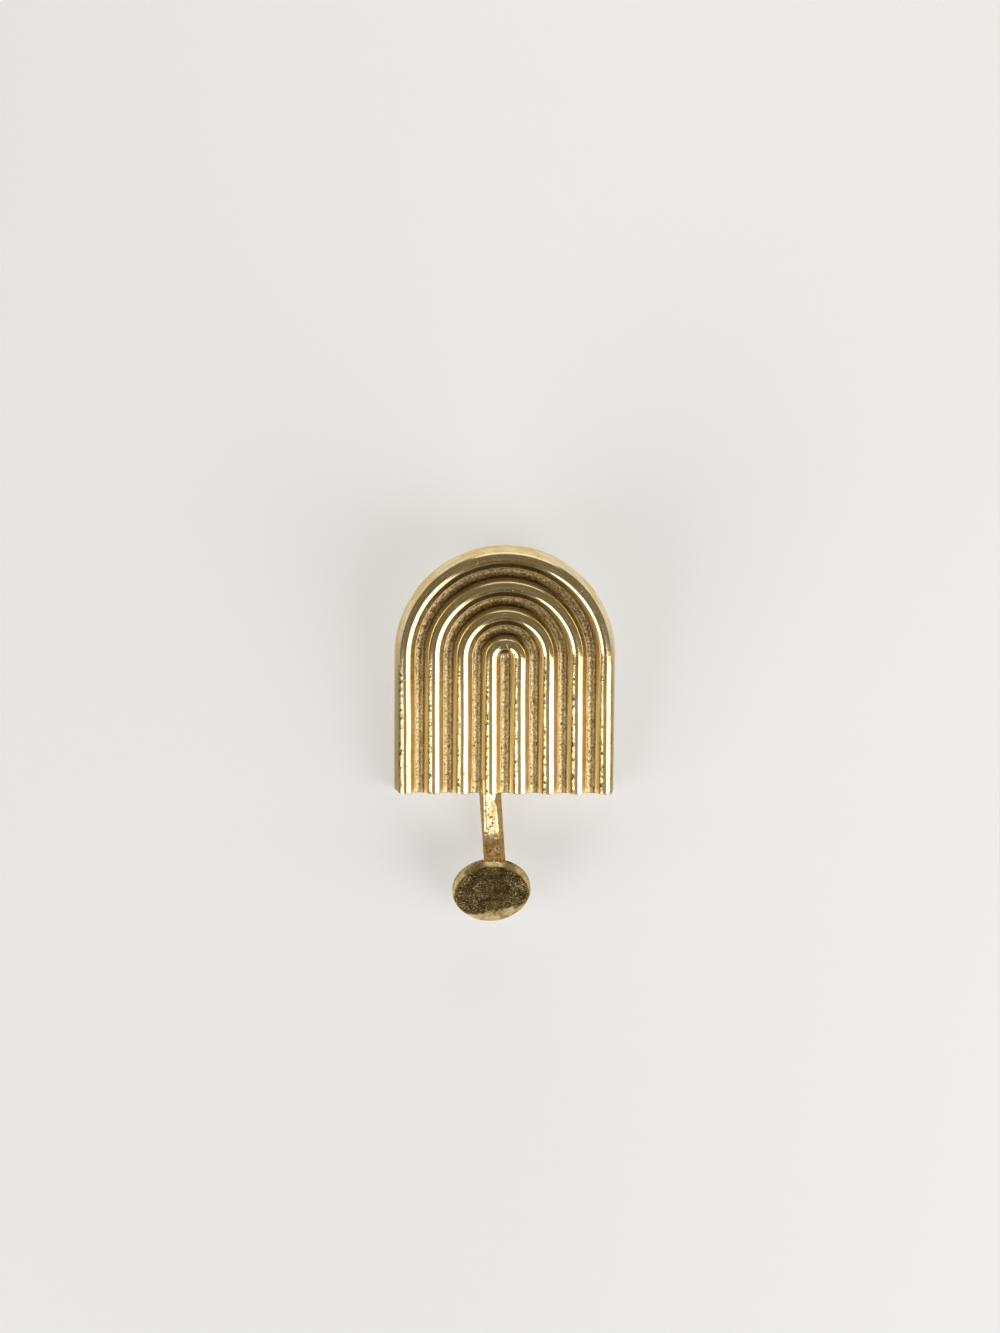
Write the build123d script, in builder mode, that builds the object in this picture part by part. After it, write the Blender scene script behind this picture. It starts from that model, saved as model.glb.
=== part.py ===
from build123d import *
from math import acos, asin, atan2, cos, degrees, hypot, radians, sin, tan
import os

os.makedirs("parts", exist_ok=True)

# A cast brass wall hook: an arch-shaped plate with nested reeds, and a short shank that bends
# forward below it and ends in a thick disc. It is one casting. The plate's back lies on the
# plane Y = 0, its face looks along -Y, and the origin is behind the centre of the arch.
# Driving dimensions, in millimetres and degrees.

# Plate
foot_radius = 30.0  # half the width of the plate where it meets the wall
leg_length = 36.8  # centre of the arch down to the front lower edge
plate_depth = 9.5  # wall to the crests of the reeds
reed_pitch = 7.7
reed_count = 4
reed_radius = 1.9  # round top of a reed
reed_flank = 70.0  # slope of a reed's straight flanks, from the plane of the wall
reed_height = 2.8  # crest above the middle of a groove's floor
groove_dish = 0.3  # hollow of a groove's floor
end_break = 0.4  # worn edge round the lower ends of the legs
back_break = 0.4  # broken edge round the back

# Fixings, hidden behind the central groove
fixing_spacing = 27.0
fixing_radius = 2.1  # core of an M5 thread
fixing_depth = 5.5

# Shank
shank_depth = 5.8  # front to back
shank_set_back = 0.9  # its front lies behind the crests of the reeds
shank_ridge = 3.0  # width of its front at the plate, a little under a reed
shank_root_width = 6.2  # width of its back at the plate
shank_front = 4.6  # width of its front from the bend on
shank_back = 5.6  # width of its back from the bend on
shank_corner = 0.9
shank_root_x = -3.7  # under the left leg of the innermost reed
shank_lean = 4.0  # angle by which it leans towards the middle of the plate
shank_drop = 10.4  # plate's lower edge down to the bend
shank_seat = 4.0  # length of shank held inside the plate
bend_radius = 9.0

# Disc
disc_fall = 31.0  # angle of the disc's axis below level
disc_reach = 20.0  # wall to the middle of the disc
disc_aside = -1.6  # the disc sits to one side of the shank's axis
disc_diameter = 20.2
disc_rim = 3.4
disc_crown = 0.7  # rise of the domed face above its rim
disc_edge = 0.7  # bevel on both edges of the rim
disc_seat = 1.0  # length of shank held inside the disc
disc_flat_depth = 0.45
disc_flat_angles = (-134.0, -53.0)  # two filed flats low on the rim

# A reed is a round bead with straight flanks, and the floor of a groove is a shallow arc.
crest_centre = plate_depth - reed_radius
groove_floor = plate_depth - reed_height
floor_edge = groove_floor + groove_dish
bead_half = reed_radius * sin(radians(reed_flank))
bead_edge = crest_centre + reed_radius * cos(radians(reed_flank))
reed_half = bead_half + (bead_edge - floor_edge) / tan(radians(reed_flank))
floor_half = reed_pitch / 2 - reed_half
floor_radius = (floor_half**2 + groove_dish**2) / (2 * groove_dish)
floor_centre = groove_floor + floor_radius
floor_slope = degrees(asin(floor_half / floor_radius))
outer_crest = (reed_count - 0.5) * reed_pitch

# The side wall runs from the foot and touches the outermost reed, which gives it its draft.
wall_run = foot_radius - outer_crest
wall_draft = degrees(acos(reed_radius / hypot(wall_run, crest_centre)) - atan2(crest_centre, wall_run))
wall_touch = (
    outer_crest + reed_radius * cos(radians(wall_draft)),
    crest_centre + reed_radius * sin(radians(wall_draft)),
)

# Sections of the plate are drawn with X outwards from the arch's centre and Y off the wall.
section_plane = Plane(origin=(0, 0, 0), x_dir=(1, 0, 0), z_dir=(0, 0, -1))
back_plane = Plane(origin=(0, 0, 0), x_dir=(-1, 0, 0), z_dir=(0, 1, 0))

# Places along the shank, which runs down, bends forward and ends inside the disc
shank_axis = plate_depth - shank_set_back - shank_depth / 2
bend_turn = radians(90 - disc_fall)
bend_out = bend_radius * (1 - cos(bend_turn))
bend_down = bend_radius * sin(bend_turn)
front = Vector(0, -1, 0)
across = Vector(cos(radians(shank_lean)), 0, sin(radians(shank_lean)))
down = Vector(sin(radians(shank_lean)), 0, -cos(radians(shank_lean)))
forward = front * sin(bend_turn) + down * cos(bend_turn)
shank_root = Vector(shank_root_x, -shank_axis, -leg_length)
bend_start = shank_root + down * shank_drop
bend_end = bend_start + down * bend_down + front * bend_out
shank_run = (disc_reach - shank_axis - bend_out) / sin(bend_turn) - disc_rim / 2
shank_end = (
    bend_down + (shank_run + disc_seat) * cos(bend_turn),
    bend_out + (shank_run + disc_seat) * sin(bend_turn),
)

root_plane = Plane(origin=shank_root - down * shank_seat, x_dir=across, z_dir=down)
bend_plane = Plane(origin=bend_start, x_dir=across, z_dir=down)
side_plane = Plane(origin=bend_start, x_dir=down, z_dir=down.cross(front))
disc_plane = Plane(origin=bend_end + forward * shank_run + across * disc_aside, x_dir=across, z_dir=forward)
rim_plane = Plane(origin=disc_plane.origin, x_dir=across, z_dir=disc_plane.y_dir * -1)
disc_axis = Axis(disc_plane.origin, forward)
disc_radius = disc_diameter / 2
disc_top = disc_rim + disc_crown
crown_radius = (disc_radius**2 + disc_crown**2) / (2 * disc_crown)
crown_angle = degrees(asin(disc_radius / crown_radius))

# Half of the plate's section, from the middle of the central groove to the foot
with BuildSketch(section_plane) as reeded_half:
    with BuildLine():
        CenterArc((0, floor_centre), floor_radius, -90, floor_slope)
        for reed in range(reed_count):
            crest = (reed + 0.5) * reed_pitch
            Line((crest - reed_half, floor_edge), (crest - bead_half, bead_edge))
            if reed < reed_count - 1:
                groove = (reed + 1) * reed_pitch
                CenterArc((crest, crest_centre), reed_radius, 90 + reed_flank, -2 * reed_flank)
                Line((crest + bead_half, bead_edge), (crest + reed_half, floor_edge))
                CenterArc((groove, floor_centre), floor_radius, -90 - floor_slope, 2 * floor_slope)
        CenterArc((outer_crest, crest_centre), reed_radius, 90 + reed_flank, wall_draft - 90 - reed_flank)
        Polyline(wall_touch, (foot_radius, 0), (0, 0), (0, groove_floor))
    make_face()

with BuildPart() as hook:
    # Arch
    revolve(reeded_half.sketch, axis=Axis((0, 0, 0), (0, -1, 0)), revolution_arc=180)

    # Legs
    with BuildSketch(section_plane):
        add(reeded_half.sketch_local)
        mirror(reeded_half.sketch_local, about=Plane.YZ)
    extrude(amount=leg_length)

    # Broken edge round the back, and the worn lower ends of the reeds and side walls
    back_edge = faces().sort_by(Axis.Y)[-1].edges()
    chamfer(back_edge, back_break)
    lower_end = faces().filter_by(Axis.Z).sort_by(Axis.Z)[0]
    chamfer(lower_end.edges().sort_by(Axis.Y)[:-1], end_break)

    # Shank, from inside the plate down to the bend
    for plane, front_width, back_width in (
        (root_plane, shank_ridge, shank_root_width),
        (bend_plane, shank_front, shank_back),
    ):
        with BuildSketch(plane) as shank_section:
            with BuildLine():
                Polyline(
                    (-front_width / 2, shank_depth / 2),
                    (front_width / 2, shank_depth / 2),
                    (back_width / 2, -shank_depth / 2),
                    (-back_width / 2, -shank_depth / 2),
                    close=True,
                )
            make_face()
            fillet(vertices(), shank_corner)
    loft()

    # Bend, and the straight end that runs into the back of the disc
    with BuildLine(side_plane) as shank_path:
        JernArc((0, 0), (1, 0), bend_radius, 90 - disc_fall)
        Line((bend_down, bend_out), shank_end)
    sweep(shank_section.sketch, path=shank_path.line)

    # Disc, turned about its own axis
    with BuildSketch(rim_plane):
        with BuildLine():
            CenterArc((0, disc_top - crown_radius), crown_radius, 90, -crown_angle)
            Polyline((disc_radius, disc_rim), (disc_radius, 0), (0, 0), (0, disc_top))
        make_face()
        chamfer(vertices().group_by(Axis.X)[-1], disc_edge)
    revolve(axis=disc_axis)

    # Filed flats low on the rim of the disc
    with BuildSketch(disc_plane):
        for angle in disc_flat_angles:
            with Locations(Rotation(0, 0, angle)):
                with Locations((disc_radius - disc_flat_depth, 0)):
                    Rectangle(disc_rim, disc_diameter, align=(Align.MIN, Align.CENTER))
    extrude(amount=disc_top, mode=Mode.SUBTRACT)

    # Fixings
    with Locations(back_plane):
        with Locations((0, 0), (0, -fixing_spacing)):
            Hole(fixing_radius, depth=fixing_depth)

hook.part.label = "cast_hook"
export_step(hook.part, "parts/cast_hook.step")
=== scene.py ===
from functools import partial
from math import acos, atan2, ceil, cos, degrees, hypot, pi, radians, sin, sqrt, tan

import bmesh
import bpy
from mathutils import Matrix, Vector, noise


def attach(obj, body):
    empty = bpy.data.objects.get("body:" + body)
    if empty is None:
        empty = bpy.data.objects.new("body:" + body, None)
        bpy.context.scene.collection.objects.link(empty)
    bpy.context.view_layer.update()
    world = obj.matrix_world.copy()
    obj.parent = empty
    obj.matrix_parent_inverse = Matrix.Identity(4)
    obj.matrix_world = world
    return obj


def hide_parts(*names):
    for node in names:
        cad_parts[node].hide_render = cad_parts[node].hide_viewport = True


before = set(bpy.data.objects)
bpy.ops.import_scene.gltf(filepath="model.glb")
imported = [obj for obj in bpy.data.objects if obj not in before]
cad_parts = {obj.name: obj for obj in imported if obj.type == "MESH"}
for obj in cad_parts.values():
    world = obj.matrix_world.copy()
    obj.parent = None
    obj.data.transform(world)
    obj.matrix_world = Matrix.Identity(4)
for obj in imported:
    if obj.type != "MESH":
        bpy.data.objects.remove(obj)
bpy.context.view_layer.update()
mm = 0.001


def linear(code):  # an sRGB hex colour as linear red, green, blue and alpha
    parts = [int(code[i:i + 2], 16) / 255 for i in (1, 3, 5)]
    return [c / 12.92 if c <= 0.04045 else ((c + 0.055) / 1.055) ** 2.4 for c in parts] + [1.0]


def step01(low, high, value):  # smooth step from 0 to 1
    t = min(1.0, max(0.0, (value - low) / (high - low)))
    return t * t * (3 - 2 * t)


# a long lens a little above the plate's own level
view = {
    "distance": 650.0,  # mm
    "above": 6.33, "aside": -1.58, "roll": 0.45,  # degrees
    "target": (-1.27, 0.0, -3.13),
    "pixelsPerMm": 3.681,  # at the target, in a frame 1000 wide and 1333 high
    "frameHeight": 1333.0,
    "sensor": 36.0,
    "clip": (0.05, 10.0),  # metres
}


def makeCamera():
    up, side, roll = radians(view["above"]), radians(view["aside"]), radians(view["roll"])
    back = Vector((sin(side) * cos(up), -cos(side) * cos(up), sin(up)))
    right = Vector((cos(side), sin(side), 0))
    above = back.cross(right)
    right, above = right * cos(roll) + above * sin(roll), above * cos(roll) - right * sin(roll)
    data = bpy.data.cameras.new("camera")
    data.sensor_width = view["sensor"]
    data.lens = data.sensor_width * view["pixelsPerMm"] * view["distance"] / view["frameHeight"]
    data.clip_start, data.clip_end = view["clip"]
    camera = bpy.data.objects.new("camera", data)
    place = (Vector(view["target"]) + back * view["distance"]) * mm
    camera.matrix_world = Matrix.Translation(place) @ Matrix((right, above, back)).transposed().to_4x4()
    bpy.context.collection.objects.link(camera)
    bpy.context.scene.camera = camera


makeCamera()
print("camera placed")


# outlines are lists of points, cut by a step in mm or into a count
def arc(centre, radius, start, sweep, step=None, count=None):
    count = count or max(3, ceil(abs(radians(sweep)) * radius / step))
    angles = [radians(start + sweep * i / count) for i in range(count + 1)]
    return [(centre[0] + radius * cos(a), centre[1] + radius * sin(a)) for a in angles]


def line(start, end, step=None, count=None):
    count = count or max(1, ceil(hypot(end[0] - start[0], end[1] - start[1]) / step))
    return [(start[0] + (end[0] - start[0]) * i / count, start[1] + (end[1] - start[1]) * i / count)
            for i in range(count + 1)]


def chain(*runs):  # runs joined end to end, with no point twice
    points = []
    for run in runs:
        for p in run:
            if not points or hypot(p[0] - points[-1][0], p[1] - points[-1][1]) > 1e-4:
                points.append(p)
    return points


def cornerArc(before, corner, after, radius):  # centre, start and sweep of the arc that rounds a corner
    here = Vector(corner)
    toBefore, toAfter = (Vector(before) - here).normalized(), (Vector(after) - here).normalized()
    half = toBefore.angle(toAfter) / 2
    centre = here + (toBefore + toAfter).normalized() * radius / sin(half)
    first = here + toBefore * radius / tan(half) - centre
    last = here + toAfter * radius / tan(half) - centre
    start = degrees(atan2(first.y, first.x))
    return centre, radius, start, (degrees(atan2(last.y, last.x)) - start + 180) % 360 - 180


def meshObject(name, verts, faces):
    mesh = bpy.data.meshes.new(name)
    mesh.from_pydata([Vector(v) * mm for v in verts], [], faces)
    shape = bmesh.new()
    shape.from_mesh(mesh)
    bmesh.ops.remove_doubles(shape, verts=shape.verts, dist=0.002 * mm)
    bmesh.ops.recalc_face_normals(shape, faces=shape.faces)
    shape.to_mesh(mesh)
    shape.free()
    obj = bpy.data.objects.new(name, mesh)
    bpy.context.collection.objects.link(obj)
    return obj


def ringFaces(rows, count, closedRing=True):
    faces = []
    for j in range(rows - 1):
        for i in range(count if closedRing else count - 1):
            k = (i + 1) % count
            faces.append((j * count + i, j * count + k, (j + 1) * count + k, (j + 1) * count + i))
    return faces


def tubeFaces(rows, count):  # rings of faces with a flat cap at both ends
    caps = [list(range(count)), list(range((rows - 1) * count, rows * count))]
    return ringFaces(rows, count) + caps


def combine(base, other, operation):
    modifier = base.modifiers.new(operation, "BOOLEAN")
    modifier.operation = operation
    modifier.solver = "MANIFOLD"
    modifier.object = other
    with bpy.context.temp_override(object=base, active_object=base):
        bpy.ops.object.modifier_apply(modifier=modifier.name)
    bpy.data.objects.remove(other)


# nested reeds carried round an arch and down two straight legs, in mm
plate = {
    "footRadius": 30.0, "legLength": 36.8, "depth": 9.5,
    "reedPitch": 7.7, "reedCount": 4, "reedRadius": 1.9, "grooveRadius": 2.05,
    "reedFlank": 64.0,  # degrees from the wall's plane
    "endWear": 0.4, "floorWear": 0.7,  # rounding of the lower ends, on the reeds and on the groove floors
    "endAngles": (0, 20, 40, 60, 75),  # degrees round that rounding
    "backBreak": 0.4,
    "acrossStep": 0.24, "alongStep": 0.5, "wallStep": 0.6,
    "wander": 0.10, "wanderLength": 11.0,  # a hand-worked reed strays this far from its line
    "dip": 0.05, "dipLength": 7.0, "dipWidth": 5.0,  # it is worn down this far here and there
    "drift": 0.24, "driftBlend": 6.0,  # the legs' reeds lean to the right by their lower ends
}
flankSlope = radians(plate["reedFlank"])
roundings = plate["reedRadius"] + plate["grooveRadius"]
flankRun = plate["reedPitch"] / 2 - roundings * sin(flankSlope)
floorLevel = plate["depth"] - roundings * (1 - cos(flankSlope)) - flankRun * tan(flankSlope)


def plateProfile():  # half of the section: distance from the middle, height above the wall
    radius, flank, depth = plate["reedRadius"], plate["reedFlank"], plate["depth"]
    pitch, count, step, hollow = plate["reedPitch"], plate["reedCount"], plate["acrossStep"], plate["grooveRadius"]
    crestCentre = depth - radius
    hollowCentre = floorLevel + hollow
    outerCrest = (count - 0.5) * pitch
    run = plate["footRadius"] - outerCrest
    draft = degrees(acos(radius / hypot(run, crestCentre)) - atan2(crestCentre, run))
    runs = [arc((0, hollowCentre), hollow, -90, flank, step)]
    for reed in range(count):
        bead = arc(((reed + 0.5) * pitch, crestCentre), radius, 90 + flank, -2 * flank, step)
        runs.append(line(runs[-1][-1], bead[0], step))
        if reed < count - 1:
            groove = arc(((reed + 1) * pitch, hollowCentre), hollow, -90 - flank, 2 * flank, step)
            runs += [bead, line(bead[-1], groove[0], step), groove]
    runs.append(arc((outerCrest, crestCentre), radius, 90 + flank, draft - 90 - flank, step))
    corner = plate["backBreak"]
    foot = (plate["footRadius"] - corner * sin(radians(draft)), corner * cos(radians(draft)))
    runs.append(line(runs[-1][-1], foot, plate["wallStep"]))
    runs.append([(plate["footRadius"] - corner, 0.0)])
    return chain(*runs)


def profileInward(profile):  # at each point, the direction into the metal
    inward = [(0.0, -1.0)]
    for i in range(1, len(profile)):
        a, b = profile[i - 1], profile[min(len(profile) - 1, i + 1)]
        along = Vector((b[0] - a[0], b[1] - a[1])).normalized()
        inward.append((along.y, -along.x))
    return inward


def plateStations():  # from the left leg's lower end round the arch: mm up a leg, or degrees on the arch
    wear, length = plate["endWear"], plate["legLength"]
    legCount = ceil((length - wear) / plate["alongStep"])
    leg = [wear * (1 - cos(radians(a))) for a in plate["endAngles"]]
    leg += [wear + (length - wear) * i / legCount for i in range(legCount)]
    archCount = ceil(pi * plate["footRadius"] / plate["alongStep"])
    arch = [("arch", 180 - 180 * i / archCount) for i in range(archCount + 1)]
    return [("left", e) for e in leg] + arch + [("right", e) for e in reversed(leg)]


def endInset(t, r, d):  # how far the rounded lower end has drawn in
    wear = plate["endWear"]
    if t >= wear:
        return 0.0
    inset = (wear - sqrt(wear ** 2 - (wear - t) ** 2)) * step01(0.2, 2.0, d)
    if r < plate["footRadius"] - plate["reedPitch"] / 2:
        more = plate["floorWear"] / wear
        inset *= more + (1 - more) * step01(floorLevel + 0.3, floorLevel + 1.1, d)
    return inset


def platePoint(kind, t, r, d, inward):
    length, foot = plate["legLength"], plate["footRadius"]
    travel = {"left": t - length, "arch": (180 - t) / 3, "right": 60 + length - t}[kind]
    # the middle, back and foot stay true
    hold = step01(0.0, 3.0, r) * step01(0.3, 2.5, d) * step01(foot, foot - 0.9, r)
    reed = int(r / plate["reedPitch"])
    stray = noise.noise(Vector((travel / plate["wanderLength"], reed * 5.3, 2.1))) * plate["wander"]
    dip = plate["dip"] * (0.5 + 0.5 * noise.noise(Vector((travel / plate["dipLength"], r / plate["dipWidth"], 9.4))))
    if kind == "arch":
        drift = inset = 0.0
    else:
        drift = plate["drift"] * step01(length + plate["driftBlend"], 0.0, t) * (1 if kind == "right" else -1)
        inset = endInset(t, r, d)
    far = max(0.0, r + (stray + drift) * hold + inward[0] * inset)
    high = d - dip * hold + inward[1] * inset
    if kind == "arch":
        return (far * cos(radians(t)), -high, far * sin(radians(t)))
    return (-far if kind == "left" else far, -high, t - length)


def makePlate():
    profile, stations = plateProfile(), plateStations()
    inward = profileInward(profile)
    verts = [platePoint(kind, t, r, d, into) for kind, t in stations for (r, d), into in zip(profile, inward)]
    rows, columns = len(stations), len(profile)
    faces = ringFaces(rows, columns, closedRing=False)
    last = (rows - 1) * columns
    faces.append([columns - 1 - i for i in range(columns)] + [last + i for i in range(1, columns)])  # lower end
    faces.append([j * columns + columns - 1 for j in range(rows)])  # back
    obj = meshObject("reededPlate", verts, faces)
    shape = bmesh.new()
    shape.from_mesh(obj.data)
    lowest = (0.01 - plate["legLength"]) * mm
    sill = [e for e in shape.edges if all(v.co.z < lowest and v.co.y > -0.2 * mm for v in e.verts)
            and e.calc_length() > 20 * mm]
    bmesh.ops.bevel(shape, geom=sill, offset=plate["backBreak"] * mm, segments=1, affect="EDGES")
    shape.to_mesh(obj.data)
    shape.free()
    return obj


# a strap that leans in, bends forward and runs into the disc, in mm and degrees
shank = {
    "depth": 5.8, "setBack": 0.9, "ridge": 2.9, "rootWidth": 6.8, "front": 4.3, "back": 6.3, "corner": 0.8,
    "ridgeAside": -0.45, "ridgeFall": 0.62,  # the front is filed to face a little to the right
    "rootX": -3.7, "lean": 4.0, "drop": 10.4, "seat": 4.0, "bendRadius": 9.0,
    "step": 0.3, "cornerCount": 5, "sideCount": 10,
    "hammer": 0.14, "hammerSize": 2.6, "hammerFade": 1.5,  # hand-filed unevenness, from the plate on
    "dents": ((10.2, -2.2, 0.8, 0.35), (2.0, 1.6, 1.1, 0.3), (13.5, 0.9, 1.0, 0.25)),  # run, side, size, depth
}
disc = {
    "fall": 31.0, "reach": 20.0, "aside": -1.6, "diameter": 20.8, "rim": 3.4, "crown": 0.7,
    "wall": 2.0, "cone": 0.45, "coneEnd": 3.45,  # straight part of the rim, then it draws in towards the face
    "lowDrop": 0.45,  # the face is worn away along its lower edge
    "lowSide": (0.3, -0.5), "lowRim": (1.2, 0.5), "lowHeight": (1.5, 3.0),  # where that wear fades in
    "back": 0.26, "raise": -0.07,  # keeps the slightly fuller disc inside the same box
    "edge": 0.7, "seat": 1.0, "flatDepth": 0.7, "flatAngles": (-134.0, -53.0),
    "border": 3.0,  # the outline is drawn finely from here out
    "soften": 0.3, "step": 0.3, "around": 180, "rings": 16,
}
lean, turn = radians(shank["lean"]), radians(90 - disc["fall"])
frontward = Vector((0, -1, 0))
across = Vector((cos(lean), 0, sin(lean)))
downward = Vector((sin(lean), 0, -cos(lean)))
forward = frontward * sin(turn) + downward * cos(turn)
shankAxis = plate["depth"] - shank["setBack"] - shank["depth"] / 2
shankRoot = Vector((shank["rootX"], -shankAxis, -plate["legLength"]))
bendStart = shankRoot + downward * shank["drop"]
bendOut = shank["bendRadius"] * (1 - cos(turn))
bendEnd = bendStart + downward * shank["bendRadius"] * sin(turn) + frontward * bendOut
lastRun = (disc["reach"] - shankAxis - bendOut) / sin(turn) - disc["rim"] / 2
discUp = forward.cross(across)
discOrigin = bendEnd + forward * (lastRun - disc["back"]) + across * disc["aside"] + discUp * disc["raise"]
discRadius = disc["diameter"] / 2


def shankSection(share):  # share 0 at the root, 1 from the bend on
    wide = shank["ridge"] + (shank["front"] - shank["ridge"]) * share
    deep = shank["rootWidth"] + (shank["back"] - shank["rootWidth"]) * share
    half, aside = shank["depth"] / 2, shank["ridgeAside"]
    corners = [(aside - wide / 2, half), (aside + wide / 2, half - shank["ridgeFall"]),
               (deep / 2, -half), (-deep / 2, -half)]
    bends = []
    for i, corner in enumerate(corners):
        bend = cornerArc(corners[i - 1], corner, corners[(i + 1) % 4], shank["corner"])
        bends.append(arc(*bend, count=shank["cornerCount"]))
    points = []
    for i in range(4):
        points += bends[i] + line(bends[i][-1], bends[(i + 1) % 4][0], count=shank["sideCount"])[1:-1]
    return [Vector(p) for p in points]


def makeShank():
    straight = shank["seat"] + shank["drop"]
    bend = shank["bendRadius"] * turn
    total = straight + bend + lastRun + disc["seat"]
    rows = ceil(total / shank["step"]) + 1
    verts = []
    for j in range(rows):
        s = total * j / (rows - 1)
        angle = min(turn, max(0.0, (s - straight) / shank["bendRadius"]))
        if s <= straight:
            place = shankRoot + downward * (s - shank["seat"])
        elif s <= straight + bend:
            place = bendStart + (downward * sin(angle) + frontward * (1 - cos(angle))) * shank["bendRadius"]
        else:
            place = bendEnd + forward * (s - straight - bend)
        outward = frontward * cos(angle) - downward * sin(angle)
        points = shankSection(min(1.0, s / straight))
        fade = step01(shank["seat"], shank["seat"] + shank["hammerFade"], s)
        for p in points:
            spot = place + across * p.x + outward * p.y
            uneven = shank["hammer"] * (0.5 + 0.5 * noise.noise(spot / shank["hammerSize"])) * fade
            for run, side, size, depth in shank["dents"]:
                away = hypot(s - shank["seat"] - run, p.x - side) / size
                uneven += depth * step01(1.0, 0.0, away) if p.y > 0 else 0.0
            verts.append(spot - (across * p.x + outward * p.y).normalized() * uneven)
    return meshObject("shankShape", verts, tubeFaces(rows, len(points)))


def discOutline():  # from the middle of the disc's back round the rim to the middle of its face
    inside, edge, rim = discRadius - disc["border"], disc["edge"], disc["rim"]
    crownRadius = (discRadius ** 2 + disc["crown"] ** 2) / (2 * disc["crown"])
    dome = {r: rim + disc["crown"] - crownRadius + sqrt(crownRadius ** 2 - r ** 2)
            for r in [inside * i / disc["rings"] for i in range(disc["rings"])] + [inside]}
    corners = [(inside, 0.0), (discRadius - edge, 0.0), (discRadius, edge), (discRadius, disc["wall"]),
               (discRadius - disc["cone"], disc["coneEnd"]), (inside, dome[inside])]
    bends = [arc(*cornerArc(*corners[i - 1:i + 2], disc["soften"]), disc["step"]) for i in range(1, 5)]
    ends = [[corners[0]], *bends, [corners[-1]]]
    runs = [ends[0]]
    for before, after in zip(ends, ends[1:]):
        runs += [line(before[-1], after[0], disc["step"]), after]
    rings = [r for r in dome if 0 < r < inside]
    return [(r, 0.0) for r in rings] + chain(*runs) + [(r, dome[r]) for r in reversed(rings)], dome[0.0]


def makeDisc():
    outline, top = discOutline()
    count = disc["around"]
    verts = []
    for r, h in outline:
        for k in range(count):
            a = 2 * pi * k / count
            x, y = r * cos(a), r * sin(a)
            for flat in disc["flatAngles"]:
                c, s = cos(radians(flat)), sin(radians(flat))
                over = x * c + y * s - (discRadius - disc["flatDepth"])
                if over > 0:
                    x, y = x - over * c, y - over * s
            low = step01(*disc["lowSide"], y / discRadius) * step01(*disc["lowHeight"], h)
            low *= step01(*[discRadius - w for w in disc["lowRim"]], r)
            verts.append(discOrigin + across * x + discUp * y + forward * (h - disc["lowDrop"] * low))
    rows = len(outline)
    faces = ringFaces(rows, count)
    for h, row in ((0.0, 0), (top, rows - 1)):
        verts.append(discOrigin + forward * h)
        faces += [(row * count + k, row * count + (k + 1) % count, len(verts) - 1) for k in range(count)]
    return meshObject("discShape", verts, faces)


# two blind holes in the back with a coarse thread, in mm
fixing = {"spacing": 27.0, "core": 2.1, "depth": 5.5, "pitch": 0.8, "height": 0.4, "overrun": 1.0,
          "around": 40, "stepsPerTurn": 8, "runOut": 1.2}


def makeFixing(z):
    count, length = fixing["around"], fixing["depth"] + fixing["overrun"]
    rows = ceil(length * fixing["stepsPerTurn"] / fixing["pitch"]) + 1
    verts = []
    for j in range(rows):
        y = fixing["overrun"] - j * length / (rows - 1)
        ease = step01(-fixing["depth"], -fixing["depth"] + fixing["runOut"], y)
        for k in range(count):
            a = 2 * pi * k / count
            phase = (y / fixing["pitch"] + k / count) % 1
            r = fixing["core"] + fixing["height"] * (1 - abs(2 * phase - 1)) * ease
            verts.append((r * cos(a), y, z + r * sin(a)))
    return meshObject("fixingCut", verts, tubeFaces(rows, count))


hook = makePlate()
print("plate", len(hook.data.vertices))
combine(hook, makeShank(), "UNION")
combine(hook, makeDisc(), "UNION")
for z in (0.0, -fixing["spacing"]):
    combine(hook, makeFixing(z), "DIFFERENCE")
hook.name = hook.data.name = "castHook"
print("one casting", len(hook.data.vertices), len(hook.data.polygons))


# where each finish lies on the casting: pairs are where a fade starts and ends, in mm
finish = {
    "skin": (1.3, 0.85), "crown": (1.7, 2.3), "crownEdge": (1.2, 2.0),  # from a groove's middle, in from the foot
    "groove": (3.1, 2.8),  # the lines below lie nearer to a groove's middle than this
    # a warm gold line down one side of each groove is a painted reflection
    "goldLeg": (2.05, 0.45, 0.15), "goldTop": (2.3, 0.55, 0.2),  # place across the groove, then the fade
    # a pale line along each groove floor is a painted highlight, fainter on the arch
    "paintedFloorHighlight": (0.45, 0.65, 0.1),
    # dark lines in the corners at the sides of each groove floor are painted shade
    "paintedShadeLine": (1.2, 0.5, 0.12), "shadeLineLeg": (2.5, 0.4, 0.1), "shadeLineTop": (1.85, 1.1, 0.2),
    "shadeLineShares": (0.7, 0.8),
    "floorHighlightRise": (-4.0, 6.0), "floorHighlightFall": 0.6,
    "chatter": (2.3, 2.7), "chatterLeg": (2.0, -5.0), "chatterHeight": (0.6, 1.6), "chatterFacing": (0.25, 0.6),
    # the side wall's cream and yellow colour is a painted reflection, on its upper part
    "wallIn": (2.2, 1.6), "wallEdge": (0.6, 0.2), "wallBright": (1.6, 1.2), "wallRise": (-6.0, 8.0),
    # archRise blends in the arch's own colours: its groove floors are painted darker, as shade
    "patinaFall": (14.0, -8.0), "archRise": (-16.0, 8.0),
    "sideFacing": (0.45, 0.8),
    # directions out from the arch's centre
    "shaded": (-0.8, 0.6), "shadedFade": (-0.35, 0.35), "topFade": (0.35, 0.85),
    "sharpAngle": 38.0,  # degrees
}


def line01(v, place, start, end, side=-1):  # 1 on a line across the groove, 0 beside it
    return step01(start, end, abs(v - side * place))


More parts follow.
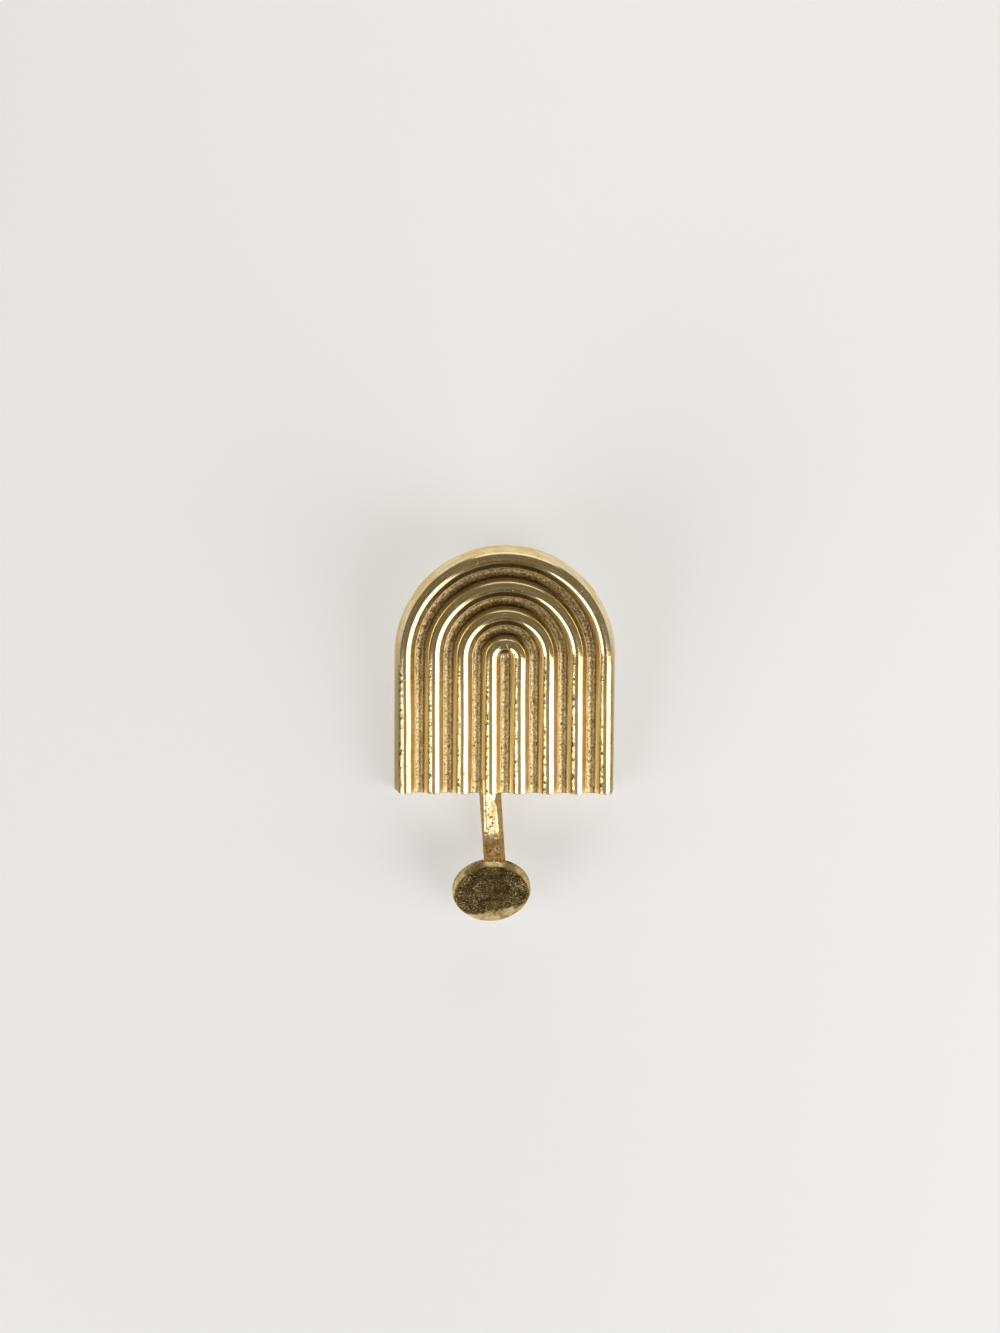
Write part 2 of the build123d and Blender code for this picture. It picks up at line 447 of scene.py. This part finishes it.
def pointMarks(p, normal):
    foot, pitch = plate["footRadius"], plate["reedPitch"]
    offset = p - discOrigin
    far = hypot(p.x, p.z) if p.z > 0 else abs(p.x)
    groove = pitch * round(far / pitch)
    fromGroove = abs(far - groove) if far < foot - 2.0 else pitch
    outward = Vector((p.x, max(0.0, p.z))).normalized()
    leftward = step01(*finish["shadedFade"], outward.dot(Vector(finish["shaded"])))  # 1 towards the left and the top
    top = step01(*finish["topFade"], outward.y)
    inGroove = step01(*finish["groove"], fromGroove)
    # the painted reflection, highlight and shade lines keep to the side of each groove that the light picks out,
    # swapping over between the left and top of the arch and the right
    gold = paintedFloorHighlight = paintedShadeLine = 0.0
    for share, v in ((leftward, far - groove), (1 - leftward, groove - far)):
        gold += share * (line01(v, *finish["goldLeg"]) * (1 - top) + line01(v, *finish["goldTop"]) * top)
        paintedFloorHighlight += share * line01(v, *finish["paintedFloorHighlight"], side=1)
        paintedShadeLine += share * (line01(v, *finish["paintedShadeLine"])
                         + finish["shadeLineShares"][0] * line01(v, *finish["shadeLineLeg"]) * (1 - top)
                         + finish["shadeLineShares"][1] * line01(v, *finish["shadeLineTop"], side=1) * top)
    inFromFoot = [[foot - w for w in finish[name]] for name in ("crownEdge", "wallIn", "wallEdge", "wallBright")]
    crownEdge, wallIn, wallEdge, wallBright = [step01(*pair, far) for pair in inFromFoot]
    chatter = step01(*finish["chatterFacing"], -normal.x) * step01(*finish["chatter"], fromGroove)
    chatter *= step01(*finish["chatterLeg"], p.z)
    chatter *= step01(*[floorLevel + h for h in finish["chatterHeight"]], -p.y)
    return {
        "alongReed": atan2(p.z, p.x) * 20 if p.z > 0 else (20 * pi - p.z if p.x < 0 else p.z),
        "acrossReed": far,
        "castSkin": step01(*finish["skin"], fromGroove),
        "crown": step01(*finish["crown"], fromGroove) * crownEdge,
        "paintedGoldLine": gold * inGroove,
        "paintedFloorHighlight": paintedFloorHighlight * inGroove * (1 - finish["floorHighlightFall"] * step01(*finish["floorHighlightRise"], p.z)),
        "paintedShadeLine": min(1.0, paintedShadeLine) * inGroove,
        "chatter": chatter,
        "patina": wallIn * step01(*finish["patinaFall"], p.z) * (1 - 0.6 * wallEdge),
        "wall": wallBright * step01(*finish["wallRise"], p.z),
        "archShare": step01(*finish["archRise"], p.z),
        "discSide": offset.dot(across) / discRadius,
        "discUp": offset.dot(discUp) / discRadius,
        "discHigh": offset.dot(forward) - disc["rim"],
        "shankRun": (p - shankRoot).dot(downward),
        "shankSide": step01(*finish["sideFacing"], abs(normal.dot(across))),
    }


def markSurface(obj):
    mesh = obj.data
    rows = [pointMarks(vertex.co / mm, vertex.normal) for vertex in mesh.vertices]
    for name in rows[0]:
        mesh.attributes.new(name, "FLOAT", "POINT").data.foreach_set("value", [row[name] for row in rows])
    for face in mesh.polygons:
        offset = face.center / mm - discOrigin
        height = offset.dot(forward)
        onDisc = height > -0.05 and (offset - forward * height).length < discRadius + 0.1
        onPlate = face.center.z > -(plate["legLength"] + 0.02) * mm
        face.material_index = 0 if onPlate else (2 if onDisc else 1)
    mesh.shade_smooth()
    mesh.set_sharp_from_angle(angle=radians(finish["sharpAngle"]))


colours = {"data_type": "RGBA", "output": 2}  # a colour mix: share in 0, colours in 6 and 7
smooth = {"interpolation_type": "SMOOTHSTEP"}
times, plus, timesPlus = {"operation": "MULTIPLY"}, {"operation": "ADD"}, {"operation": "MULTIPLY_ADD"}


def addNode(tree, kind, inputs=(), output=0, **settings):  # returns one output of the node
    node = tree.nodes.new("ShaderNode" + kind)
    for key, value in settings.items():
        setattr(node, key, value)
    for key, value in inputs.items() if isinstance(inputs, dict) else enumerate(inputs):
        if isinstance(value, bpy.types.NodeSocket):
            tree.links.new(value, node.inputs[key])
        else:
            node.inputs[key].default_value = linear(value) if isinstance(value, str) else value
    return node.outputs[output] if node.outputs else node


def newMaterial(name):
    material = bpy.data.materials.new(name)
    material.use_nodes = True
    tree = material.node_tree
    tree.nodes.clear()
    add = partial(addNode, tree)
    place = add("VectorMath", {0: add("TexCoord", output="Object"), "Scale": 1 / mm}, operation="SCALE")  # mm
    return material, add, place


def finishBrass(add, look, colour, rough, height, haze):
    # worn brass shines in two ways at once: a sharp reflection, and a faint wide haze from its fine scratches
    bump = add("Bump", {"Strength": 1.0, "Distance": mm, "Height": height})
    sharp, wide = [add("BsdfPrincipled", {"Metallic": 1.0, "Specular Tint": look["edge"], "Base Color": colour,
                                          "Roughness": r, "Normal": bump}) for r in (rough, look["hazeRough"])]
    add("OutputMaterial", {"Surface": add("MixShader", (haze, sharp, wide))})


reedBrass = {
    "polished": "#F7E9C0", "warm": "#EEDCA8", "edge": "#F8EACB", "tarnish": "#A48C54",
    # cream and yellow colour the side wall's upper part as a painted reflection
    "cream": "#FFF6DE", "yellow": "#F2D890", "patina": "#75602F",  # side wall
    # the arch's groove floor colours are painted darker, as shade
    "skinPale": "#E8D09A", "skinDark": "#A48652", "archPale": "#C4A878", "archDark": "#6E5632",  # groove floors
    # the gold line colours are a painted reflection, the pale floor line colour a painted highlight and the dark line
    # colour painted shade; grime fills the pits
    "paintedGoldLine": "#FFDD92", "paleLine": "#FFE6B0", "paintedFloorHighlight": "#F6DFAC", "paintedShadeLine": "#4A3510", "grime": "#5E4A26",
    "rough": (0.10, 0.17), "roughFlank": 0.24, "roughSkin": 0.42, "roughGoldLine": 0.68, "roughLine": 0.3,
    "haze": 0.12, "hazeLeg": 0.32, "hazeRough": 0.5,
    "grain": 0.50, "grainDepth": 0.09,  # mm, sand left by the mould on the groove floors
    "ripple": 0.35, "rippleDepth": 0.006, "flankRipple": 0.014,  # mm, what the file left on the reeds
    "pit": 0.8, "pitDepth": 0.06, "chatterDepth": 0.15,
    "streak": 0.28, "streakLength": 9.0,  # mm, file strokes drawn coarser than real so that they show
    "patch": 5.0,
    "ragged": (0.8, -0.4), "sandy": (0.3, 0.7), "speck": (0.36, 0.66), "pitted": (0.66, 0.72),
    "morePits": {"castSkin": 0.04, "wall": 0.03, "chatter": 0.15},
    "warmPatch": (0.35, 0.65), "yellowPatch": (0.42, 0.62), "tarnishStreak": (0.35, 0.65, 0.05, 0.4),
    "broken": {"patina": (0.4, 0.6, 0.95, 0.6), "paintedFloorHighlight": (0.34, 0.6, 0.1, 0.75), "paintedShadeLine": (0.7, 0.4, 0.7, 1.0)},
}


def makeReedBrass():
    # cast brass, its reeds filed and polished along their length: bright streaks on top, dull sandy skin in the grooves
    look = reedBrass
    material, add, place = newMaterial("filedCastBrass")
    marks = {name: add("Attribute", output="Fac", attribute_name=name)
             for name in ("alongReed", "acrossReed", "castSkin", "crown", "paintedGoldLine", "paintedFloorHighlight", "paintedShadeLine",
                          "chatter", "patina", "wall", "archShare")}
    arch, crown, paintedGoldLine = marks["archShare"], marks["crown"], marks["paintedGoldLine"]
    lane = add("CombineXYZ", {"X": add("Math", (marks["alongReed"], 1 / look["streakLength"]), **times),
                              "Y": add("Math", (marks["acrossReed"], 1 / look["streak"]), **times)})
    streak = add("TexNoise", {"Vector": lane, "Scale": 1.0, "Detail": 2.0, "Roughness": 0.5}, "Fac")
    patch, grain, ripple, pits = [
        add("TexNoise", {"Vector": place, "Scale": 1 / look[name], "Detail": detail, "Roughness": rough}, "Fac")
        for name, detail, rough in (("patch", 3.0, 0.5), ("grain", 3.0, 0.6), ("ripple", 2.0, 0.5), ("pit", 3.0, 0.6))]

    # how far each point has kept its sandy skin, with a ragged edge, and where it is pitted
    ragged = add("Math", (marks["castSkin"], add("Math", (grain, *look["ragged"]), **timesPlus)), **plus)
    sandy = add("MapRange", (ragged, *look["sandy"]), **smooth)
    pitted = pits
    for name, share in look["morePits"].items():
        pitted = add("Math", (marks[name], share, pitted), **timesPlus)
    pitted = add("MapRange", (pitted, *look["pitted"]), **smooth)

    # colours laid over each other from the bare metal up
    speck = add("MapRange", (grain, *look["speck"]), **smooth)
    skinLeg = add("Mix", {0: speck, 6: look["skinDark"], 7: look["skinPale"]}, **colours)
    skinArchShaded = add("Mix", {0: speck, 6: look["archDark"], 7: look["archPale"]}, **colours)
    wallPatch = add("MapRange", (patch, *look["yellowPatch"]), **smooth)
    streaked = add("MapRange", (streak, *look["tarnishStreak"]), **smooth)
    archCrown = add("Math", (arch, crown), **times)
    broken = {name: add("Math", (marks[name], add("MapRange", (grain, *fade), **smooth)), **times)
              for name, fade in look["broken"].items()}
    colour = add("Mix", {0: add("MapRange", (patch, *look["warmPatch"]), **smooth),
                         6: look["polished"], 7: look["warm"]}, **colours)
    layers = (
        # sandy groove floors, painted darker on the arch as shade
        (sandy, add("Mix", {0: arch, 6: skinLeg, 7: skinArchShaded}, **colours)),
        # painted reflection: the upper side wall coloured cream and yellow
        (marks["wall"], add("Mix", {0: wallPatch, 6: look["cream"], 7: look["yellow"]}, **colours)),
        (add("Math", (archCrown, streaked), **times), look["tarnish"]),
        (broken["patina"], look["patina"]),
        # painted highlight: a pale line along each groove floor
        (broken["paintedFloorHighlight"], look["paintedFloorHighlight"]),
        # painted shade: dark lines in the corners of the grooves
        (broken["paintedShadeLine"], look["paintedShadeLine"]),
        # painted reflection: a gold line down one side of each groove, paler on the arch
        (paintedGoldLine, add("Mix", {0: arch, 6: look["paintedGoldLine"], 7: look["paleLine"]}, **colours)),
        (pitted, look["grime"]),
    )
    for share, tone in layers:
        colour = add("Mix", {0: share, 6: colour, 7: tone}, **colours)

    # polished on the crowns, dull on sand and pits, satin on the gold lines that are a painted reflection
    worn = add("MapRange", (streak, 0.3, 0.7, *look["rough"]), **smooth)
    filed = add("Mix", {0: crown, 2: look["roughFlank"], 3: worn}, data_type="FLOAT")
    dull = add("Math", (sandy, pitted), operation="MAXIMUM")
    rubbedSheen = add("MapRange", (arch, 0.0, 1.0, look["roughGoldLine"], look["roughLine"]), **smooth)
    rough = add("Mix", {0: dull, 2: filed, 3: look["roughSkin"]}, data_type="FLOAT")
    rough = add("Mix", {0: paintedGoldLine, 2: rough, 3: rubbedSheen}, data_type="FLOAT")

    # heights in mm: sandy grain on the floors, small ripples on the reeds, file chatter on their left sides, pits
    height = add("Math", (grain, add("Math", (sandy, look["grainDepth"]), **times)), **times)
    fine = add("Mix", {0: crown, 2: look["flankRipple"], 3: look["rippleDepth"]}, data_type="FLOAT")
    height = add("Math", (ripple, fine, height), **timesPlus)
    chattered = add("Math", (pits, marks["chatter"]), **times)
    height = add("Math", (chattered, look["chatterDepth"], height), **timesPlus)
    height = add("Math", (pitted, -look["pitDepth"], height), **timesPlus)
    haze = add("MapRange", (arch, 0.0, 1.0, look["hazeLeg"], look["haze"]), **smooth)
    finishBrass(add, look, colour, rough, height, haze)
    return material


shankBrass = {
    # dark and low colour the part near the disc as painted shade
    "bright": "#FCEEC4", "worn": "#DDC084", "dark": "#AE8A50", "side": "#A88650", "low": "#CDA262",
    "pit": "#4A3A1C", "edge": "#F4E2B8",
    "haze": 0.3, "hazeLow": 0.75, "hazeRough": 0.6, "rough": 0.28, "dull": 0.45,
    "grain": 0.7, "pitDepth": 0.09, "ripple": 1.8, "rippleDepth": 0.08,  # mm
    # from here the shank turns dull and is painted darker and mottled, as shade near the disc
    "lowRun": (10.0, 15.0),  # mm below the plate where the shank turns dull
    "pitted": (0.56, 0.64), "wornRipple": (0.48, 0.7), "darkRipple": (0.35, 0.6), "roughGrain": (0.4, 0.65),
    "lowShare": 0.6, "sideShare": 0.85,
}


def makeShankBrass():
    # the same brass, filed by hand and knocked about: bright facets with dark pits, dull towards the disc, where it is
    # also painted darker as shade
    look = shankBrass
    material, add, place = newMaterial("handFiledBrass")
    run, side = [add("Attribute", output="Fac", attribute_name=name) for name in ("shankRun", "shankSide")]
    grain = add("TexNoise", {"Vector": place, "Scale": 1 / look["grain"], "Detail": 3.0, "Roughness": 0.65}, "Fac")
    ripple = add("TexNoise", {"Vector": place, "Scale": 1 / look["ripple"], "Detail": 2.0, "Roughness": 0.5}, "Fac")
    pitted = add("MapRange", (grain, *look["pitted"]), **smooth)
    low = add("MapRange", (run, *look["lowRun"]), **smooth)
    mottle = add("MapRange", (ripple, *look["darkRipple"]), **smooth)
    colour = add("Mix", {0: add("MapRange", (ripple, *look["wornRipple"]), **smooth),
                         6: look["bright"], 7: look["worn"]}, **colours)
    layers = (
        # painted shade near the disc
        (add("Math", (low, mottle), **times), look["dark"]),
        (add("Math", (low, look["lowShare"]), **times), look["low"]),
        (add("Math", (side, look["sideShare"]), **times), look["side"]),
        (pitted, look["pit"]),
    )
    for share, tone in layers:
        colour = add("Mix", {0: share, 6: colour, 7: tone}, **colours)
    rough = add("MapRange", (grain, *look["roughGrain"], look["rough"], look["dull"]), **smooth)
    waves = add("Math", (ripple, look["rippleDepth"]), **times)
    height = add("Math", (pitted, -look["pitDepth"], waves), **timesPlus)
    haze = add("MapRange", (low, 0.0, 1.0, look["haze"], look["hazeLow"]), **smooth)
    finishBrass(add, look, colour, rough, height, haze)
    return material


discBrass = {
    # the dark face colours are partly a painted reflection of the dim room, the bare colours partly a painted
    # reflection of the pale paper
    "dark": "#5A4A2A", "speck": "#E4D09C", "deep": "#2A2010", "bare": "#E6D2A0", "shade": "#AE945E",
    "rim": "#DCC08A", "edge": "#F0DCB0",
    "rough": 0.26, "roughBare": 0.22, "haze": 0.2, "hazeRubbed": 0.3, "hazeRough": 0.6,
    "grain": 0.42, "cloud": 2.4, "grainDepth": 0.18, "bareDepth": 0.02,  # mm
    "boundary": -0.56, "slope": 0.17, "curl": 0.02,  # edge of the bare area, in shares of the radius
    "broken": (0.36, -0.18), "boundaryFade": (-0.05, 0.07),
    "rubbedRing": (0.945, 0.965), "rubbedUpper": (-0.15, 0.1), "wallFade": (-1.5, -1.2, 1.0, 0.0),
    # the pale specks on the dark face are painted glints
    "middle": 0.1, "ends": (0.1, 0.6, 0.45, 1.0),  # specks are brighter towards both ends
    "speckGrain": (0.5, 0.68), "rimGrain": (0.45, 0.62),
    "deepCloud": (0.42, 0.62, 0.0, 0.75), "shadeCloud": (0.35, 0.65),
}


def makeDiscBrass():
    # aged brass: a dark mottled skin, worn through to bare metal along the lower edge and round the rim; the dark is
    # partly a painted reflection of the dim room, and the pale lower area partly a painted reflection of the pale paper
    # below
    look = discBrass
    material, add, place = newMaterial("agedBrassFaceWithPaintedReflection")
    side, up, high = [add("Attribute", output="Fac", attribute_name=name)
                      for name in ("discSide", "discUp", "discHigh")]
    grain, cloud = [
        add("TexNoise", {"Vector": place, "Scale": 1 / look[name], "Detail": detail, "Roughness": rough}, "Fac")
        for name, detail, rough in (("grain", 4.0, 0.7), ("cloud", 5.0, 0.65))]

    # the edge of the bare area rises from left to right and is broken up by noise
    curve = add("Math", (side, look["curl"], look["slope"]), **timesPlus)
    rise = add("Math", (curve, side, look["boundary"]), **timesPlus)
    above = add("Math", (up, rise), operation="SUBTRACT")
    above = add("Math", (above, add("Math", (cloud, *look["broken"]), **timesPlus)), **plus)
    agedAndDarkReflection = add("MapRange", (above, *look["boundaryFade"]), **smooth)

    # the upper edge is coloured bare too: partly rubbed wear, partly a painted highlight along the upper rim
    far = add("VectorMath", {0: add("CombineXYZ", {"X": side, "Y": up})}, "Value", operation="LENGTH")
    rubbedSheen = add("Math", (add("MapRange", (far, *look["rubbedRing"]), **smooth),
                          add("MapRange", (up, *look["rubbedUpper"]), **smooth)), **times)
    agedAndDarkReflection = add("Math", (agedAndDarkReflection, add("Math", (1.0, rubbedSheen), operation="SUBTRACT")), **times)

    wall = add("MapRange", (high, *look["wallFade"]), **smooth)
    fromMiddle = add("Math", (add("Math", (side, look["middle"]), operation="SUBTRACT"),), operation="ABSOLUTE")
    ends = add("MapRange", (fromMiddle, *look["ends"]), **smooth)
    # painted glints: pale specks on the dark face, stronger towards both ends
    paintedGlints = add("Math", (add("MapRange", (grain, *look["speckGrain"]), **smooth), ends), **times)
    mottled = add("Mix", {0: paintedGlints, 6: look["dark"], 7: look["speck"]}, **colours)
    mottled = add("Mix", {0: add("MapRange", (cloud, *look["deepCloud"]), **smooth),
                          6: mottled, 7: look["deep"]}, **colours)
    bare = add("Mix", {0: add("MapRange", (cloud, *look["shadeCloud"]), **smooth),
                       6: look["bare"], 7: look["shade"]}, **colours)
    rim = add("Mix", {0: add("MapRange", (grain, *look["rimGrain"]), **smooth),
                      6: look["rim"], 7: look["dark"]}, **colours)
    face = add("Mix", {0: agedAndDarkReflection, 6: bare, 7: mottled}, **colours)
    colour = add("Mix", {0: wall, 6: face, 7: rim}, **colours)
    rough = add("Mix", {0: agedAndDarkReflection, 2: look["roughBare"], 3: look["rough"]}, data_type="FLOAT")
    depth = add("Math", (agedAndDarkReflection, look["grainDepth"] - look["bareDepth"], look["bareDepth"]), **timesPlus)
    haze = add("MapRange", (rubbedSheen, 0.0, 1.0, look["haze"], look["hazeRubbed"]), **smooth)
    finishBrass(add, look, colour, rough, add("Math", (grain, depth), **times), haze)
    return material


# pale paper behind the hook, softboxes low at the sides and a pale flat above, in mm
stage = {
    "tilt": 17.0,  # degrees that the paper leans towards the hook's lower end
    "gap": 13.0,  # behind the middle of the arch
    "size": 2400.0, "below": 205.0,  # below the middle of the arch
    "paper": "#EAEBEC", "paperLow": "#B0B0B1", "grade": (-260.0, 280.0),  # darker where the light is nearer
    "glow": "#FFFFFF", "glowLevel": 0.38,  # part of its light is its own, so shadows stay pale
}
softboxes = {  # turn in degrees from the view axis; distance, sideways shift, width, top and bottom edges
    "rightNear": {"turn": 58.0, "distance": 520.0, "shift": -305.0, "width": 260.0, "top": -45.0, "bottom": -380.0,
                  "level": 3.3},
    "rightFar": {"turn": 58.0, "distance": 520.0, "shift": 360.0, "width": 1070.0, "top": -45.0, "bottom": -700.0,
                 "level": 3.3},
    "leftSoftbox": {"turn": -74.0, "distance": 520.0, "shift": 235.0, "width": 530.0, "top": -92.0, "bottom": -920.0,
                    "level": 3.6},
}
overhead = {"height": 600.0, "left": -200.0, "right": 380.0, "front": 260.0, "back": 150.0, "level": 1.1}


def makeGroundPaper():
    # matt paper: soft shadows and no shine; it is clear from behind, so that the back of the hook can be seen
    material, add, place = newMaterial("palePaper")
    height = add("SeparateXYZ", (place,), "Z")
    tone = add("Mix", {0: add("MapRange", (height, *stage["grade"]), **smooth),
                       6: stage["paperLow"], 7: stage["paper"]}, **colours)
    paper = add("BsdfPrincipled", {"Base Color": tone, "Roughness": 0.9, "Specular IOR Level": 0.1,
                                   "Emission Color": stage["glow"], "Emission Strength": stage["glowLevel"]})
    behind = add("NewGeometry", output="Backfacing")
    add("OutputMaterial", {"Surface": add("MixShader", (behind, paper, add("BsdfTransparent")))})
    return material


def addLamp(name, width, height, level, place, rotation=(0, 0, 0)):  # a rectangle as bright as its level
    data = bpy.data.lights.new(name, "AREA")
    data.shape = "RECTANGLE"
    data.size, data.size_y = width * mm, height * mm
    data.energy = level * pi * data.size * data.size_y
    lamp = bpy.data.objects.new(name, data)
    lamp.location = Vector(place) * mm
    lamp.rotation_euler = rotation
    lamp.visible_camera = False
    bpy.context.collection.objects.link(lamp)


def makeStage():
    half, end = stage["size"] / 2 * mm, -stage["below"] * mm
    mesh = bpy.data.meshes.new("paper")
    mesh.from_pydata([(-half, 0, end), (half, 0, end), (half, 0, half), (-half, 0, half)], [], [(0, 1, 2, 3)])
    mesh.materials.append(makeGroundPaper())
    paper = bpy.data.objects.new("paper", mesh)
    paper.location = (0, stage["gap"] * mm, 0)
    paper.rotation_euler = (-radians(stage["tilt"]), 0, 0)
    bpy.context.collection.objects.link(paper)
    for name, box in softboxes.items():
        a = radians(box["turn"])
        away, sideways = Vector((sin(a), -cos(a), 0)), Vector((cos(a), sin(a), 0))
        place = away * box["distance"] + sideways * box["shift"] + Vector((0, 0, (box["top"] + box["bottom"]) / 2))
        addLamp(name, box["width"], box["top"] - box["bottom"], box["level"], place,
                away.to_track_quat("Z", "Y").to_euler())
    flat = overhead
    addLamp("overheadFlat", flat["right"] - flat["left"], flat["front"] + flat["back"], flat["level"],
            ((flat["left"] + flat["right"]) / 2, (flat["back"] - flat["front"]) / 2, flat["height"]))


# a dim room round the lamps: grey above, brown at the level of the hook, dark below
studio = {"above": "#777163", "level": "#72624A", "below": "#40392B", "seen": "#EDEDED",
          "lowFade": (-0.9, -0.3), "highFade": (0.0, 0.35)}


def makeWorld():
    world = bpy.data.worlds.new("studio")
    bpy.context.scene.world = world
    world.use_nodes = True
    world.node_tree.nodes.clear()
    add = partial(addNode, world.node_tree)
    height = add("SeparateXYZ", (add("TexCoord", output="Generated"),), "Z")
    room = add("Mix", {0: add("MapRange", (height, *studio["lowFade"]), **smooth),
                       6: studio["below"], 7: studio["level"]}, **colours)
    room = add("Mix", {0: add("MapRange", (height, *studio["highFade"]), **smooth),
                       6: room, 7: studio["above"]}, **colours)
    colour = add("Mix", {0: add("LightPath", output="Is Camera Ray"), 6: room, 7: studio["seen"]}, **colours)
    add("OutputWorld", {"Surface": add("Background", {"Color": colour, "Strength": 1.0})})


makeStage()
makeWorld()
bpy.context.scene.view_settings.view_transform = "Standard"
print("stage and world", len(bpy.data.lights), "lamps")

hook.data.materials.clear()
for material in (makeReedBrass(), makeShankBrass(), makeDiscBrass()):
    hook.data.materials.append(material)
markSurface(hook)
print("materials", [m.name for m in hook.data.materials])

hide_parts("cast_hook")
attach(hook, "root")
